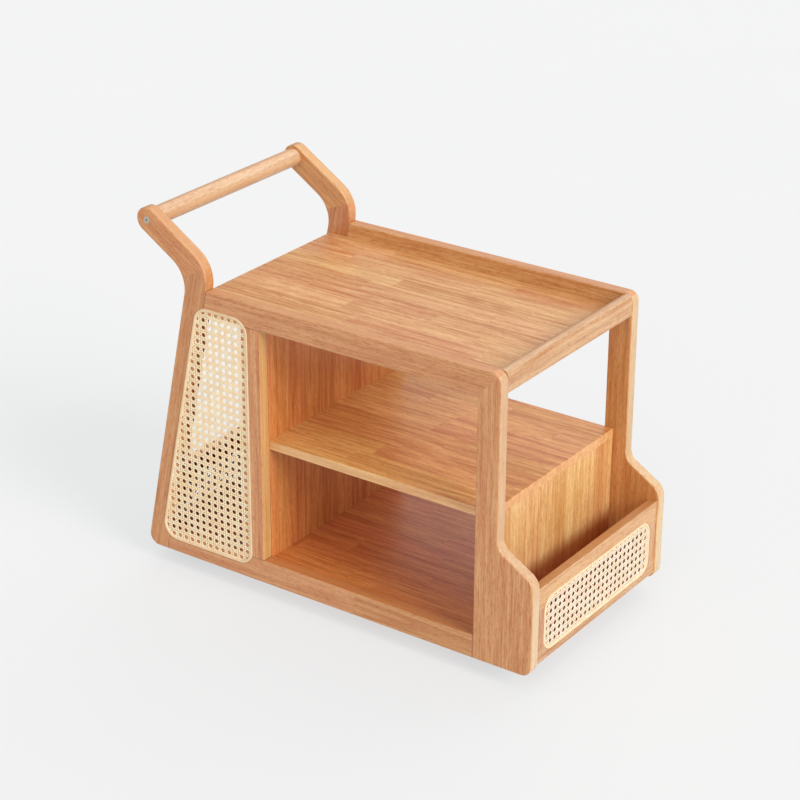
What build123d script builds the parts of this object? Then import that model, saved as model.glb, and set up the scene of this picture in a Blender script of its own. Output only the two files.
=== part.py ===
# Rolling side table in honey-coloured hardwood: two side frames with cane panels, a tray top,
# a shelf, a pocket at each end, a push handle and four swivel casters.
# X runs along the length with the handle at -X, Y across, Z up from the floor.
# The origin is on the floor, under the middle of the overall length and width.

import math
import os

from build123d import *

os.makedirs("parts", exist_ok=True)

# Overall
length = 736
width = 390
frame_lift = 28
frame_height = 475

# Side frames
side_thick = 20
member = 40
foot_reach = 63
rear_lean = 11.72
heel_radius = 18
top_corner_radius = 16
foot_slope_low = 157.5
foot_slope_high = 196
foot_inner_radius = 24
foot_outer_radius = 28
stile_width = 37
stile_setback = 435.5
edge_round = 2.5
opening_round = 1.5

# Push handle
arm_end_setback = 651
arm_end_rise = 92
arm_angle = 33
bend_inner_radius = 50
bend_outer_radius = 55
bar_radius = 15

# Boards
board = 15
tray_depth = 25
tabletop_rear_inset = 5
shelf_drop = 231.5
shelf_setback = 24
divider_setback = 25
bottom_board_step = 2
crossbar_thick = 20
crossbar_height = 35
crossbar_inset = 1
cleat_depth = 27
cleat_height = 12
cleat_end_gap = 20
board_round = 1

# Pocket panels
panel_inset = 2.5
panel_low = 13
panel_high = 140
panel_bottom_rail = 20.5
panel_top_rail = 36.5
panel_stile = 35
panel_cane_side = 18
panel_cane_low = 10
panel_cane_high = 22.5
panel_cane_radius = 24

# Cane and its spline
cane_thick = 1.6
cane_sink = 0.4
spline_width = 6
spline_depth = 5
spline_proud = 0.8
spline_crown = 2.6
side_cane_back = 24
side_cane_front = 22.8
side_cane_top = 28.6
side_cane_low = 21.5
side_cane_radius = 27

# Dowels and screws
dowel_radius = 4
dowel_length = 30
mitre_dowel_length = 26
dowel_step = 10
bend_dowel_places = (-12, 5)
bend_dowel_length = 26
frame_dowel_drops = (10, 30)
tabletop_dowel_xs = (-90, 80, 240)
bottom_board_dowel_xs = (-290, -100, 90)
rear_divider_dowel_zs = (150, 400)
front_divider_dowel_zs = (110, 220)
board_dowel_ys = (-100, 100)
crossbar_dowel_places = ((-3, 30), (3, 18))
pin_radius = 3
pin_length = 20
pin_inset = 7
pin_back = 4.5
bolt_radius = 3
bolt_length = 50
bolt_head_radius = 5.7
bolt_head_height = 3
insert_radius = 5
insert_length = 20
bolt_tip_room = 2
screw_radius = 2
screw_head_radius = 4
screw_head_height = 2
cleat_screw_length = 36
cleat_screw_ys = (-110, 0, 110)
plate_screw_bite = 11
socket_radius = 2.3
socket_depth = 2

# Casters
caster_x_front = 0
caster_x_rear = -605
caster_y = 135
wheel_radius = 19
wheel_width = 16
rim_radius = 14
rim_wall = 2
hub_radius = 5.5
web_thick = 4
web_round = 1
web_hole_radius = 1.8
web_hole_count = 6
caster_trail = 14
plate_size = 40
plate_thick = 2
plate_hole_pitch = 29
fork_thick = 2
fork_top_radius = 15
plate_corner_radius = 5
race_gap = 0.3
race_wall = 1.5
fork_cheek_gap = 0.8
fork_neck_width = 19.5
fork_boss_radius = 6.5
rivet_radius = 3
rivet_drop = 0.2
rivet_head_radius = 6
rivet_head_height = 1.3
axle_head_radius = 4
axle_head_height = 1
tyre_round = 3
axle_radius = 2.5
ball_radius = 1.7
ball_circle = 9
ball_count = 8
running_gap = 0.1

# Places worked out from the driving dimensions
lean_tan = math.tan(math.radians(rear_lean))
lean_cos = math.cos(math.radians(rear_lean))
half_y = width / 2
inner_y = half_y - side_thick
base_z = frame_lift
top_z = frame_lift + frame_height
front_x = length / 2 - foot_reach
foot_x = length / 2
heel_x = -length / 2 - heel_radius * (lean_tan + 1 / lean_cos - 1)
post_back_x = front_x - member
stile_front_x = front_x - stile_setback
stile_back_x = stile_front_x - stile_width
rail_low_z = base_z + member
rail_high_z = top_z - member
tabletop_z = top_z - tray_depth
shelf_z = top_z - shelf_drop
floor_board_z = rail_low_z - bottom_board_step
divider_front_x = front_x - divider_setback
arm_end = (front_x - arm_end_setback, top_z + arm_end_rise)


def lean_x(z, across=0):
    """X of the line that leans with the rear post, at a height, that far in from its back edge."""
    return heel_x + (z - base_z) * lean_tan + across / lean_cos


# The bend of the handle: the post's line and the arm's line, each half a member to either side.
arm_run = (math.cos(math.radians(arm_angle)), -math.sin(math.radians(arm_angle)))
arm_side = (math.sin(math.radians(arm_angle)), math.cos(math.radians(arm_angle)))


def arm_point(side, along=0):
    """A point of the arm's line, offset to its upper side, that far from its rounded end."""
    return (
        arm_end[0] + side * arm_side[0] + along * arm_run[0],
        arm_end[1] + side * arm_side[1] + along * arm_run[1],
    )


def bend_corner(side):
    """Where the post's line and the arm's line cross, offset to the front and upper side."""
    start = arm_point(side)
    post_x = lean_x(start[1], member / 2 + side)
    along = (post_x - start[0]) / (arm_run[0] - lean_tan * arm_run[1])
    return arm_point(side, along)


bend_inner = bend_corner(-member / 2)
bend_outer = bend_corner(member / 2)
bend_middle = bend_corner(0)


def polygon(points):
    """A filled polygon in the sketch that is open."""
    Polygon(*points, align=None)


# One whole side frame is shaped as a slab, and its pieces are then cut from it at their joints,
# because the real frame is sanded flush and its edges are eased after it is glued up.
outline_corners = [
    ((foot_x, base_z), heel_radius),
    ((foot_x, base_z + foot_slope_low), foot_outer_radius),
    ((front_x, base_z + foot_slope_high), foot_inner_radius),
    ((front_x, top_z), top_corner_radius),
    ((lean_x(top_z, member), top_z), 0),
    (bend_outer, bend_outer_radius),
    (arm_point(member / 2), 0),
    (arm_point(-member / 2), 0),
    (bend_inner, bend_inner_radius),
    ((heel_x, base_z), heel_radius),
]


def round_corners(sketch, corners):
    """Round the corners of the sketch that is open; corners are (point, radius) pairs."""
    for point, radius in corners:
        if radius > 0:
            fillet(sketch.vertices().sort_by_distance(point)[0], radius=radius)


def side_cane_corners(inset):
    """The rounded trapezoid of a side cane panel, drawn that far inside its spline's outer edge."""
    low = base_z + side_cane_low + inset
    high = top_z - side_cane_top - inset
    front = stile_front_x - side_cane_front - inset
    return [
        ((front, low), side_cane_radius - inset),
        ((front, high), side_cane_radius - inset),
        ((lean_x(high, side_cane_back + inset), high), side_cane_radius - inset),
        ((lean_x(low, side_cane_back + inset), low), side_cane_radius - inset),
    ]


def draw(sketch, corners):
    """A filled polygon with its corners rounded."""
    polygon([point for point, radius in corners])
    round_corners(sketch, corners)


# Dowels: which two pieces each one joins, where it lies, its radius and its length.
dowels = []


def add_dowel(pieces, middle, direction, radius=dowel_radius, span=dowel_length):
    dowels.append((pieces, Plane(origin=middle, z_dir=direction), radius, span))


def drill(piece):
    """Cut the holes of every dowel that ends in this piece."""
    for pieces, plane, radius, span in dowels:
        if piece in pieces:
            with Locations(plane):
                Cylinder(radius, span, mode=Mode.SUBTRACT)


# Dowels inside the right side frame, halfway through its thickness
frame_mid_y = -(half_y - side_thick / 2)
seam_dir = Vector(bend_outer[0] - bend_inner[0], 0, bend_outer[1] - bend_inner[1]).normalized()
bend_dir = Vector(-seam_dir.Z, 0, seam_dir.X)
for drop in frame_dowel_drops:
    seam_x = lean_x(top_z - drop, member)
    add_dowel(("right_rear_post", "right_top_rail"), (seam_x, frame_mid_y, top_z - drop), (1, 0, 0))
    seam_x = lean_x(base_z + drop, member)
    add_dowel(("right_rear_post", "right_bottom_rail"), (seam_x, frame_mid_y, base_z + drop), (1, 0, 0))
    add_dowel(("right_front_post", "right_bottom_rail"), (post_back_x, frame_mid_y, base_z + drop), (1, 0, 0))
add_dowel(
    ("right_front_post", "right_top_rail"),
    (post_back_x + dowel_step, frame_mid_y, rail_high_z + dowel_step),
    (1, 0, -1),
    span=mitre_dowel_length,
)
for place in (-dowel_step, dowel_step):
    stile_x = stile_front_x - stile_width / 2 + place
    add_dowel(("right_stile", "right_top_rail"), (stile_x, frame_mid_y, rail_high_z), (0, 0, 1))
    add_dowel(("right_stile", "right_bottom_rail"), (stile_x, frame_mid_y, rail_low_z), (0, 0, 1))
# The bend's outer side is rounded off, so its two dowels lie nearer the inner side.
for place in bend_dowel_places:
    middle = Vector(bend_middle[0], frame_mid_y, bend_middle[1]) + seam_dir * place
    add_dowel(("right_rear_post", "right_handle_arm"), middle, bend_dir, span=bend_dowel_length)
frame_dowels = list(dowels)

# Dowels between the boards and the frames: a third of each one bites into the piece whose face it
# enters, and the rest into the other piece's end.
dowel_bite = dowel_length / 3
dowel_shift = dowel_length / 2 - dowel_bite


def side_dowels(board_name, frame_piece, x, z):
    """A dowel from each end of a board into the side frame beside it."""
    for side, hand in ((-1, "right_"), (1, "left_")):
        middle = (x, side * (inner_y - dowel_shift), z)
        add_dowel((board_name, hand + frame_piece), middle, (0, side, 0))


tabletop_mid_z = tabletop_z - board / 2
floor_board_mid_z = floor_board_z - board / 2
shelf_mid_z = shelf_z - board / 2
rear_divider_mid_x = stile_front_x - board / 2
front_divider_mid_x = divider_front_x - board / 2
crossbar_mid_x = front_x - crossbar_inset - crossbar_thick / 2
panel_face_x = foot_x - panel_inset
panel_mid_x = panel_face_x - board / 2
panel_rail_mids = (panel_low + panel_bottom_rail / 2, panel_high - panel_top_rail / 2)

side_dowels("tabletop", "rear_post", lean_x(tabletop_mid_z, member / 2), tabletop_mid_z)
for x in tabletop_dowel_xs:
    side_dowels("tabletop", "top_rail", x, tabletop_mid_z)
for x in bottom_board_dowel_xs:
    side_dowels("bottom_board", "bottom_rail", x, floor_board_mid_z)
side_dowels("bottom_board", "front_post", front_x - member / 2, floor_board_mid_z)
for z in rear_divider_dowel_zs:
    side_dowels("rear_divider", "stile", rear_divider_mid_x, z)
for z in front_divider_dowel_zs:
    side_dowels("front_divider", "front_post", front_divider_mid_x, z)
side_dowels("shelf", "front_post", front_divider_mid_x, shelf_mid_z)
for shift, drop in crossbar_dowel_places:
    side_dowels("crossbar", "front_post", crossbar_mid_x + shift, top_z - drop)
for rail, mid in zip(("bottom_rail", "top_rail"), panel_rail_mids):
    side_dowels("front_panel_" + rail, "front_post", panel_mid_x, base_z + mid)
    rear_mid_x = lean_x(base_z + mid, panel_inset + board / 2)
    side_dowels("rear_panel_" + rail, "rear_post", rear_mid_x, base_z + mid)

for y in board_dowel_ys:
    low_z = floor_board_z + dowel_shift
    add_dowel(("rear_divider", "bottom_board"), (rear_divider_mid_x, y, low_z), (0, 0, 1))
    add_dowel(("front_divider", "bottom_board"), (front_divider_mid_x, y, low_z), (0, 0, 1))
    high_z = tabletop_z - board - dowel_shift
    add_dowel(("rear_divider", "tabletop"), (rear_divider_mid_x, y, high_z), (0, 0, 1))
    high_z = shelf_z - board - dowel_shift
    add_dowel(("front_divider", "shelf"), (front_divider_mid_x, y, high_z), (0, 0, 1))
    add_dowel(("rear_divider", "shelf"), (stile_front_x + dowel_shift, y, shelf_mid_z), (1, 0, 0))


def keep(piece, name):
    """Label a finished piece and write it out."""
    piece.part.label = name
    export_step(piece.part, "parts/" + name + ".step")


def keep_mirrored(piece, name):
    """Write the same piece for the left side."""
    with BuildPart() as left_piece:
        mirror(piece.part, about=Plane.XZ)
    keep(left_piece, name)


# Right side frame, whole
with BuildPart() as side_slab:
    with BuildSketch(Plane.XZ.offset(inner_y)) as outline:
        polygon([point for point, radius in outline_corners])
        with Locations(arm_end):
            Circle(member / 2)
        round_corners(outline, outline_corners)
    extrude(amount=side_thick)
    fillet(side_slab.faces().filter_by(Axis.Y).edges(), radius=edge_round)
    with BuildSketch(Plane.XZ.offset(inner_y)):
        polygon(
            [
                (stile_front_x, rail_low_z),
                (post_back_x, rail_low_z),
                (post_back_x, rail_high_z),
                (stile_front_x, rail_high_z),
            ]
        )
    extrude(amount=side_thick, mode=Mode.SUBTRACT)
    opening_edges = [
        edge
        for edge in side_slab.faces().filter_by(Axis.Y).edges()
        if stile_front_x - 1 < edge.center().X < post_back_x + 1
        and rail_low_z - 1 < edge.center().Z < rail_high_z + 1
    ]
    fillet(opening_edges, radius=opening_round)
    with BuildSketch(Plane.XZ.offset(inner_y)):
        polygon(
            [
                (stile_back_x, rail_low_z),
                (stile_back_x, rail_high_z),
                (lean_x(rail_high_z, member), rail_high_z),
                (lean_x(rail_low_z, member), rail_low_z),
            ]
        )
    extrude(amount=side_thick, mode=Mode.SUBTRACT)
    with BuildSketch(Plane.XZ.offset(half_y)) as recess:
        draw(recess, side_cane_corners(0))
    extrude(amount=-(cane_sink + cane_thick), mode=Mode.SUBTRACT)
    with BuildSketch(Plane.XZ.offset(half_y)) as groove:
        draw(groove, side_cane_corners(0))
        with BuildSketch(mode=Mode.SUBTRACT) as groove_inside:
            draw(groove_inside, side_cane_corners(spline_width))
    extrude(amount=-spline_depth, mode=Mode.SUBTRACT)

# The frame's joints cut the slab into its pieces
seam_out = (bend_middle[0] + member * seam_dir.X, bend_middle[1] + member * seam_dir.Z)
seam_in = (bend_middle[0] - member * seam_dir.X, bend_middle[1] - member * seam_dir.Z)
frame_regions = {
    "top_rail": [
        (lean_x(rail_high_z, member), rail_high_z),
        (lean_x(top_z, member), top_z),
        (front_x, top_z),
        (post_back_x, rail_high_z),
    ],
    "bottom_rail": [
        (lean_x(base_z, member), base_z),
        (lean_x(rail_low_z, member), rail_low_z),
        (post_back_x, rail_low_z),
        (post_back_x, base_z),
    ],
    "front_post": [
        (post_back_x, base_z),
        (post_back_x, rail_high_z),
        (front_x, top_z),
        (foot_x, top_z),
        (foot_x, base_z),
    ],
    "rear_post": [
        (heel_x - member, base_z),
        (lean_x(base_z, member), base_z),
        (lean_x(top_z, member), top_z),
        seam_out,
        seam_in,
    ],
    "handle_arm": [
        seam_in,
        seam_out,
        (seam_out[0], arm_end[1] + member),
        (arm_end[0] - member, arm_end[1] + member),
        (arm_end[0] - member, seam_in[1]),
    ],
    "stile": [
        (stile_back_x, rail_low_z),
        (stile_back_x, rail_high_z),
        (stile_front_x, rail_high_z),
        (stile_front_x, rail_low_z),
    ],
}

bolt_hole_radius = bolt_radius + running_gap
for frame_piece, region in frame_regions.items():
    with BuildPart() as frame_part:
        add(side_slab.part)
        with BuildSketch(Plane.XZ.offset(inner_y)):
            polygon(region)
        extrude(amount=side_thick, mode=Mode.INTERSECT)
        drill("right_" + frame_piece)
        if frame_piece == "handle_arm":
            with Locations(Plane(origin=(arm_end[0], -half_y, arm_end[1]), z_dir=(0, -1, 0))):
                CounterBoreHole(bolt_hole_radius, bolt_head_radius + running_gap, bolt_head_height)
    keep(frame_part, "right_" + frame_piece)
    keep_mirrored(frame_part, "left_" + frame_piece)


def dowel_group(chosen):
    """The dowels themselves, as separate solids in the part that is open."""
    for pieces, plane, radius, span in chosen:
        with Locations(plane):
            Cylinder(radius, span)


with BuildPart() as right_frame_dowels:
    dowel_group(frame_dowels)
keep(right_frame_dowels, "right_frame_dowels")
keep_mirrored(right_frame_dowels, "left_frame_dowels")

with BuildPart() as board_dowels:
    dowel_group(dowels[len(frame_dowels):])
keep(board_dowels, "board_dowels")

# Side cane panels
with BuildPart() as right_cane:
    with BuildSketch(Plane.XZ.offset(half_y - cane_sink)) as cane_shape:
        draw(cane_shape, side_cane_corners(spline_width))
    extrude(amount=-cane_thick)
keep(right_cane, "right_cane")
keep_mirrored(right_cane, "left_cane")

with BuildPart() as right_cane_spline:
    with BuildSketch(Plane.XZ.offset(half_y - spline_depth)) as spline_shape:
        draw(spline_shape, side_cane_corners(0))
        with BuildSketch(mode=Mode.SUBTRACT) as spline_inside:
            draw(spline_inside, side_cane_corners(spline_width))
    extrude(amount=spline_depth + spline_proud)
    crown = right_cane_spline.faces().sort_by(Axis.Y)[0]
    fillet(crown.edges(), radius=spline_crown)
keep(right_cane_spline, "right_cane_spline")
keep_mirrored(right_cane_spline, "left_cane_spline")


def board_box(x_from, x_to, z_from, z_to, half_width=inner_y):
    """A board between the side frames, in the part that is open."""
    with Locations(((x_from + x_to) / 2, 0, (z_from + z_to) / 2)):
        Box(x_to - x_from, 2 * half_width, z_to - z_from)


# Tabletop, sunk between the rails, with an open edge at the handle end
with BuildPart() as tabletop:
    crossbar_back_x = crossbar_mid_x - crossbar_thick / 2
    board_box(lean_x(tabletop_z) + tabletop_rear_inset, crossbar_back_x, tabletop_z - board, tabletop_z)
    fillet(tabletop.edges().filter_by(Axis.Y).sort_by(Axis.X)[:2], radius=edge_round)
    drill("tabletop")
keep(tabletop, "tabletop")

# Front crossbar, its top fully rounded
with BuildPart() as crossbar:
    bar_top = top_z - crossbar_inset
    board_box(crossbar_back_x, crossbar_back_x + crossbar_thick, bar_top - crossbar_height, bar_top)
    long_edges = crossbar.edges().filter_by(Axis.Y)
    fillet(long_edges.sort_by(Axis.Z)[2:], radius=crossbar_thick / 2 - running_gap)
    fillet(crossbar.edges().filter_by(Axis.Y).sort_by(Axis.Z)[:2], radius=edge_round)
    drill("crossbar")
keep(crossbar, "crossbar")

# Middle shelf
with BuildPart() as shelf:
    board_box(stile_front_x, front_x - shelf_setback, shelf_z - board, shelf_z)
    fillet(shelf.edges().filter_by(Axis.Y).sort_by(Axis.X)[-2:], radius=board_round)
    fillet(shelf.edges().filter_by(Axis.X).sort_by(Axis.Z)[-2:], radius=board_round)
    drill("shelf")
keep(shelf, "shelf")

# Cleat under the shelf's back edge, and its screws
cleat_screw_z = shelf_z - board - cleat_height / 2
cleat_screw_planes = [
    Plane(origin=(stile_front_x + cleat_depth, y, cleat_screw_z), z_dir=(1, 0, 0)) for y in cleat_screw_ys
]
with BuildPart() as shelf_cleat:
    board_box(
        stile_front_x,
        stile_front_x + cleat_depth,
        shelf_z - board - cleat_height,
        shelf_z - board,
        inner_y - cleat_end_gap,
    )
    for plane in cleat_screw_planes:
        with Locations(plane):
            CounterBoreHole(screw_radius, screw_head_radius, screw_head_height)
keep(shelf_cleat, "shelf_cleat")

with BuildPart() as cleat_screws:
    for plane in cleat_screw_planes:
        with BuildSketch(plane):
            Circle(screw_radius)
        extrude(amount=-cleat_screw_length)
        with BuildSketch(plane):
            Circle(screw_head_radius)
        extrude(amount=-screw_head_height)
keep(cleat_screws, "cleat_screws")

# Dividers, standing on the bottom board
with BuildPart() as rear_divider:
    board_box(stile_front_x - board, stile_front_x, floor_board_z, tabletop_z - board)
    drill("rear_divider")
    for plane in cleat_screw_planes:
        with BuildSketch(plane):
            Circle(screw_radius)
        extrude(amount=-cleat_screw_length, mode=Mode.SUBTRACT)
keep(rear_divider, "rear_divider")

with BuildPart() as front_divider:
    board_box(divider_front_x - board, divider_front_x, floor_board_z, shelf_z - board)
    drill("front_divider")
keep(front_divider, "front_divider")

# Bottom board, its back end cut to the lean of the rear panel
caster_places = {
    "front_right": (front_x + caster_x_front, -caster_y),
    "front_left": (front_x + caster_x_front, caster_y),
    "rear_right": (front_x + caster_x_rear, -caster_y),
    "rear_left": (front_x + caster_x_rear, caster_y),
}
mount_z = floor_board_z - board
plate_z = mount_z - plate_thick
with BuildPart() as bottom_board:
    with BuildSketch(Plane.XZ.offset(-inner_y)):
        polygon(
            [
                (lean_x(mount_z, panel_inset + board), mount_z),
                (panel_face_x - board, mount_z),
                (panel_face_x - board, floor_board_z),
                (lean_x(floor_board_z, panel_inset + board), floor_board_z),
            ]
        )
    extrude(amount=2 * inner_y)
    drill("bottom_board")
    with BuildSketch(Plane.XY.offset(mount_z)):
        for place in caster_places.values():
            with Locations(place):
                with GridLocations(plate_hole_pitch, plate_hole_pitch, 2, 2):
                    Circle(screw_radius)
    extrude(amount=plate_screw_bite, mode=Mode.SUBTRACT)
keep(bottom_board, "bottom_board")


def panel_cane_corners(height, inset):
    """The rounded rectangle of a pocket panel's cane, in the panel's own face, that far inside."""
    half = inner_y - panel_cane_side - inset
    low = panel_cane_low + inset
    high = height - panel_cane_high - inset
    radius = panel_cane_radius - inset
    return [
        ((-half, low), radius),
        ((half, low), radius),
        ((half, high), radius),
        ((-half, high), radius),
    ]


def shifted(face, depth):
    """The panel's face plane moved outward by that depth."""
    return Plane(origin=face.origin + face.z_dir * depth, x_dir=face.x_dir, z_dir=face.z_dir)


def pocket_panel(end, face, height):
    """A framed cane panel whose outer face is the plane, with its low edge at the plane's origin."""
    opening_low = panel_bottom_rail
    opening_high = height - panel_top_rail
    opening_half = inner_y - panel_stile
    stile_mid = inner_y - panel_stile / 2
    pieces = (end + "_panel_stiles",)
    for level, rail in ((opening_low, "bottom_rail"), (opening_high, "top_rail")):
        for side in (-1, 1):
            local = Vector(side * (opening_half + pin_inset), level, pin_back - board)
            middle = face.from_local_coords(local)
            add_dowel(pieces + (end + "_panel_" + rail,), middle, face.y_dir, pin_radius, pin_length)
    with BuildPart() as panel_slab:
        with BuildSketch(face):
            polygon([(-inner_y, 0), (inner_y, 0), (inner_y, height), (-inner_y, height)])
            with Locations((0, (opening_low + opening_high) / 2)):
                Rectangle(2 * opening_half, opening_high - opening_low, mode=Mode.SUBTRACT)
        extrude(amount=-board)
        top_edges = panel_slab.edges().filter_by(Axis.Y).group_by(Axis.Z)[-2:]
        fillet([edge for group in top_edges for edge in group], radius=board_round)
        with BuildSketch(face) as recess:
            draw(recess, panel_cane_corners(height, 0))
        extrude(amount=-(cane_sink + cane_thick), mode=Mode.SUBTRACT)
        with BuildSketch(face) as groove:
            draw(groove, panel_cane_corners(height, 0))
            with BuildSketch(mode=Mode.SUBTRACT) as groove_inside:
                draw(groove_inside, panel_cane_corners(height, spline_width))
        extrude(amount=-spline_depth, mode=Mode.SUBTRACT)
    regions = {
        "bottom_rail": [(0, opening_low / 2, 2 * inner_y, opening_low)],
        "top_rail": [(0, (opening_high + height) / 2, 2 * inner_y, height - opening_high)],
        "stiles": [
            (side * stile_mid, (opening_low + opening_high) / 2, panel_stile, opening_high - opening_low)
            for side in (-1, 1)
        ],
    }
    for piece, boxes in regions.items():
        with BuildPart() as panel_part:
            add(panel_slab.part)
            with BuildSketch(face):
                for x, y, wide, high in boxes:
                    with Locations((x, y)):
                        Rectangle(wide, high)
            extrude(amount=-board, mode=Mode.INTERSECT)
            drill(end + "_panel_" + piece)
        keep(panel_part, end + "_panel_" + piece)
    with BuildPart() as panel_cane:
        with BuildSketch(shifted(face, -cane_sink)) as cane_shape:
            draw(cane_shape, panel_cane_corners(height, spline_width))
        extrude(amount=-cane_thick)
    keep(panel_cane, end + "_panel_cane")
    with BuildPart() as panel_spline:
        with BuildSketch(shifted(face, -spline_depth)) as spline_shape:
            draw(spline_shape, panel_cane_corners(height, 0))
            with BuildSketch(mode=Mode.SUBTRACT) as spline_inside:
                draw(spline_inside, panel_cane_corners(height, spline_width))
        extrude(amount=spline_depth + spline_proud)
        crown = panel_spline.faces().sort_by(Axis(face.origin, face.z_dir))[-1]
        fillet(crown.edges(), radius=spline_crown)
    keep(panel_spline, end + "_panel_spline")


panel_height = panel_high - panel_low
front_face = Plane(origin=(panel_face_x, 0, base_z + panel_low), x_dir=(0, 1, 0), z_dir=(1, 0, 0))
rear_face = Plane(
    origin=(lean_x(base_z + panel_low, panel_inset), 0, base_z + panel_low),
    x_dir=(0, -1, 0),
    z_dir=(-lean_cos, 0, lean_cos * lean_tan),
)
pocket_panel("front", front_face, panel_height)
pocket_panel("rear", rear_face, panel_height / lean_cos)

# Handle bar, with a threaded insert and a bolt at each end
bolt_tip = bolt_length + bolt_head_height - side_thick
with BuildPart() as handle_bar:
    with BuildSketch(Plane.XZ.offset(-inner_y)):
        with Locations(arm_end):
            Circle(bar_radius)
    extrude(amount=2 * inner_y)
    for side in (-1, 1):
        with Locations(Plane(origin=(arm_end[0], side * inner_y, arm_end[1]), z_dir=(0, side, 0))):
            CounterBoreHole(bolt_hole_radius, insert_radius, insert_length, depth=bolt_tip + bolt_tip_room)
keep(handle_bar, "handle_bar")

with BuildPart() as handle_inserts:
    for side in (-1, 1):
        with BuildSketch(Plane(origin=(arm_end[0], side * inner_y, arm_end[1]), z_dir=(0, -side, 0))):
            Circle(insert_radius)
            Circle(bolt_radius, mode=Mode.SUBTRACT)
        extrude(amount=insert_length)
keep(handle_inserts, "handle_inserts")

with BuildPart() as handle_bolts:
    for side in (-1, 1):
        outer = Plane(origin=(arm_end[0], side * half_y, arm_end[1]), z_dir=(0, -side, 0))
        with BuildSketch(outer):
            Circle(bolt_head_radius)
        extrude(amount=bolt_head_height)
        with BuildSketch(outer):
            Circle(bolt_radius)
        extrude(amount=bolt_head_height + bolt_length)
        with BuildSketch(outer):
            RegularPolygon(socket_radius, 6)
        extrude(amount=socket_depth, mode=Mode.SUBTRACT)
keep(handle_bolts, "handle_bolts")

# Casters: the plates, rivets, balls and screws stay with the table, and the forks swivel under them
fork_top_z = plate_z - 2 * ball_radius - running_gap
fork_under_z = fork_top_z - fork_thick
rivet_head_z = fork_under_z - rivet_drop
cheek_gap = wheel_width / 2 + fork_cheek_gap
race_radius = ball_circle + ball_radius + race_gap

with BuildPart() as caster_plates:
    for place in caster_places.values():
        with BuildSketch(Plane.XY.offset(plate_z)):
            with Locations(place):
                RectangleRounded(plate_size, plate_size, plate_corner_radius)
                Circle(rivet_radius, mode=Mode.SUBTRACT)
                with GridLocations(plate_hole_pitch, plate_hole_pitch, 2, 2):
                    Circle(screw_radius, mode=Mode.SUBTRACT)
        extrude(amount=plate_thick)
        with BuildSketch(Plane.XY.offset(plate_z)):
            with Locations(place):
                Circle(race_radius + race_wall)
                Circle(race_radius, mode=Mode.SUBTRACT)
        extrude(amount=-ball_radius)
keep(caster_plates, "caster_plates")

with BuildPart() as caster_rivets:
    for place in caster_places.values():
        with BuildSketch(Plane.XY.offset(mount_z)):
            with Locations(place):
                Circle(rivet_radius)
        extrude(amount=-(mount_z - rivet_head_z))
        with BuildSketch(Plane.XY.offset(rivet_head_z)):
            with Locations(place):
                Circle(rivet_head_radius)
        extrude(amount=-rivet_head_height)
keep(caster_rivets, "caster_rivets")

with BuildPart() as caster_balls:
    for place in caster_places.values():
        with Locations((place[0], place[1], plate_z - ball_radius)):
            with PolarLocations(ball_circle, ball_count):
                Sphere(ball_radius)
keep(caster_balls, "caster_balls")

with BuildPart() as caster_screws:
    for place in caster_places.values():
        with BuildSketch(Plane.XY.offset(mount_z + plate_screw_bite)):
            with Locations(place):
                with GridLocations(plate_hole_pitch, plate_hole_pitch, 2, 2):
                    Circle(screw_radius)
        extrude(amount=-(plate_screw_bite + plate_thick))
        with BuildSketch(Plane.XY.offset(plate_z)):
            with Locations(place):
                with GridLocations(plate_hole_pitch, plate_hole_pitch, 2, 2):
                    Circle(screw_head_radius)
        extrude(amount=-screw_head_height)
keep(caster_screws, "caster_screws")


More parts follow.
